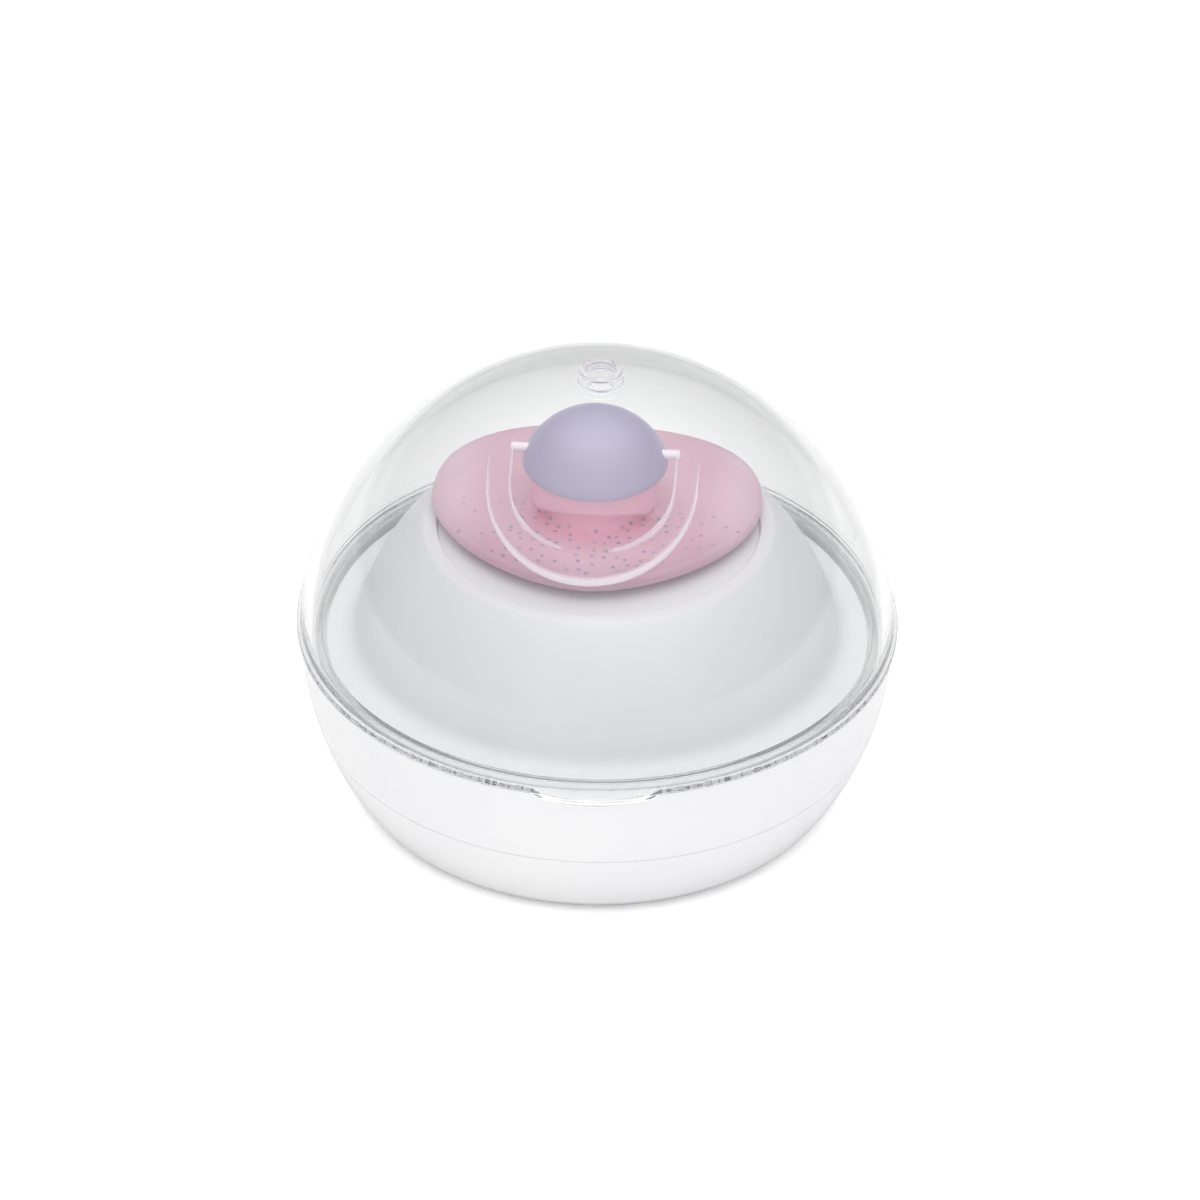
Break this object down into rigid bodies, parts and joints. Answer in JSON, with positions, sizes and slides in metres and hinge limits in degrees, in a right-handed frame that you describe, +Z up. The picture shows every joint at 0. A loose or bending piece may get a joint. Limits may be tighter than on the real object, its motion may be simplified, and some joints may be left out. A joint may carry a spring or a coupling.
{
  "type": "pacifier sterilizer case",
  "caption": "Ball-shaped pacifier sterilizer case: white bowl with a flat foot, clear vented dome lid with a thumb tab, domed holder and a seated pacifier with a ring handle.",
  "frame": {"origin": "middle of the flat face the case rests on", "axes": "+Z up through the steam vent, -Y towards the thumb tab (front), +X to the right seen from the front"},
  "size_m": [0.0852, 0.0868, 0.0677],
  "materials": {
    "shell_white": "glossy injection-moulded polypropylene",
    "pan_white": "satin moulded polypropylene",
    "holder_white": "satin moulded polypropylene",
    "lid_clear": "polished clear plastic",
    "shield_pink": "tinted translucent plastic with small specks",
    "button_lilac": "satin moulded plastic",
    "ring_clear": "polished clear plastic with a faint pink cast",
    "teat_silicone": "soft clear silicone",
    "plug_white": "moulded plastic"
  },
  "bodies": {
    "base": {"base_bottom": "shell_white", "base_bowl": "shell_white", "water_pan": "pan_white"},
    "holder": {"holder_dome": "holder_white"},
    "pacifier": {"pacifier_shield": "shield_pink", "pacifier_teat": "teat_silicone", "pacifier_plug": "plug_white", "pacifier_button": "button_lilac"},
    "ring": {"pacifier_ring": "ring_clear"},
    "lid": {"lid_dome": "lid_clear"}
  },
  "joints": [
    {"name": "holder_lift", "type": "slide", "parent": "base", "child": "holder", "axis": [0, 0, 1], "range_m": [0, 0.04]},
    {"name": "pacifier_lift", "type": "slide", "parent": "holder", "child": "pacifier", "axis": [0, 0, 1], "range_m": [0, 0.045]},
    {"name": "lid_lift", "type": "slide", "parent": "pacifier", "child": "lid", "axis": [0, 0, 1], "range_m": [0, 0.06]},
    {"name": "ring_swing", "type": "hinge", "parent": "pacifier", "child": "ring", "pos_m": [-0.0006, 0, 0.05407], "axis": [-0.9976, 0.0698, 0], "range_deg": [0, 26]}
  ]
}
